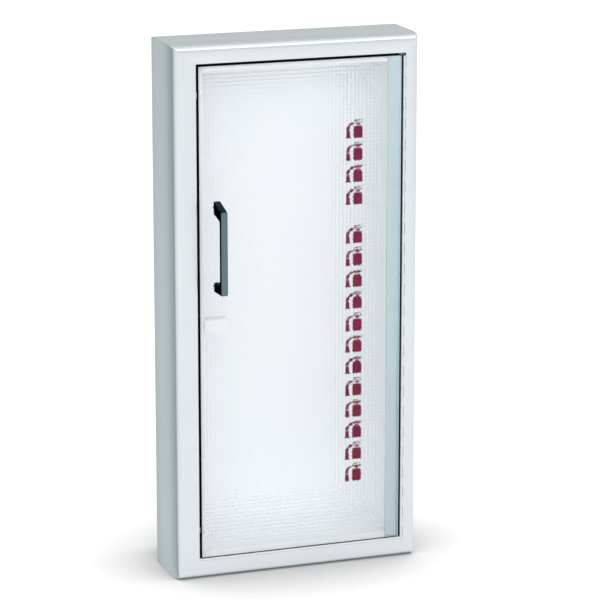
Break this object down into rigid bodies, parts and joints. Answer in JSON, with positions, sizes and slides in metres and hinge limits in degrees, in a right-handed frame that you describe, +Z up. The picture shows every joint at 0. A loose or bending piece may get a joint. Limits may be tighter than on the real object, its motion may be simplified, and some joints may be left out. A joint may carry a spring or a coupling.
{
  "type": "fire extinguisher cabinet",
  "caption": "Semi-recessed fire-rated steel wall cabinet with a rolled edge trim and a clear prismatic door on a full-height hinge, for a portable extinguisher.",
  "frame": {"origin": "on the wall plane, in the middle of the bottom wall flange's back face", "axes": "+Z up, +Y into the wall, +X to the right as seen by someone facing the door, which faces -Y"},
  "size_m": [0.311, 0.1645, 0.654],
  "materials": {
    "trim": "satin stainless, folded and welded",
    "liner": "white baked enamel on steel sheet",
    "barrier": "off-white mineral fire barrier board",
    "shell": "zinc coated steel sheet, spangled and dull",
    "door": "clear acrylic, prismatic on its back",
    "hinge": "satin stainless sheet rolled round its pin",
    "pull": "dark satin metal",
    "fastener": "zinc plated",
    "strike": "plated steel",
    "catch_case": "moulded grey plastic",
    "bumper": "soft grey rubber"
  },
  "bodies": {
    "cabinet": {"trim_top_rail": "trim", "trim_bottom_rail": "trim", "trim_left_stile": "trim", "trim_right_stile": "trim", "liner_left": "liner", "liner_right": "liner", "liner_top": "liner", "liner_bottom": "liner", "liner_back": "liner", "barrier_left": "barrier", "barrier_right": "barrier", "barrier_top": "barrier", "barrier_bottom": "barrier", "barrier_back": "barrier", "shell_left": "shell", "shell_right": "shell", "shell_top": "shell", "shell_bottom": "shell", "shell_back": "shell", "hinge_frame_leaf": "hinge", "hinge_pin": "hinge", "catch_magnet": "catch_case", "door_bumper_upper": "bumper", "door_bumper_lower": "bumper"},
    "door": {"door_panel": "door", "hinge_door_leaf": "hinge", "pull_handle": "pull", "catch_strike": "strike", "pull_screw_upper": "fastener", "pull_screw_lower": "fastener", "pull_washer_upper": "fastener", "pull_washer_lower": "fastener"}
  },
  "joints": [
    {"name": "door_hinge", "type": "hinge", "parent": "cabinet", "child": "door", "pos_m": [0.13535, -0.0825, 0.321], "axis": [0, 0, 1], "range_deg": [0, 165]}
  ]
}
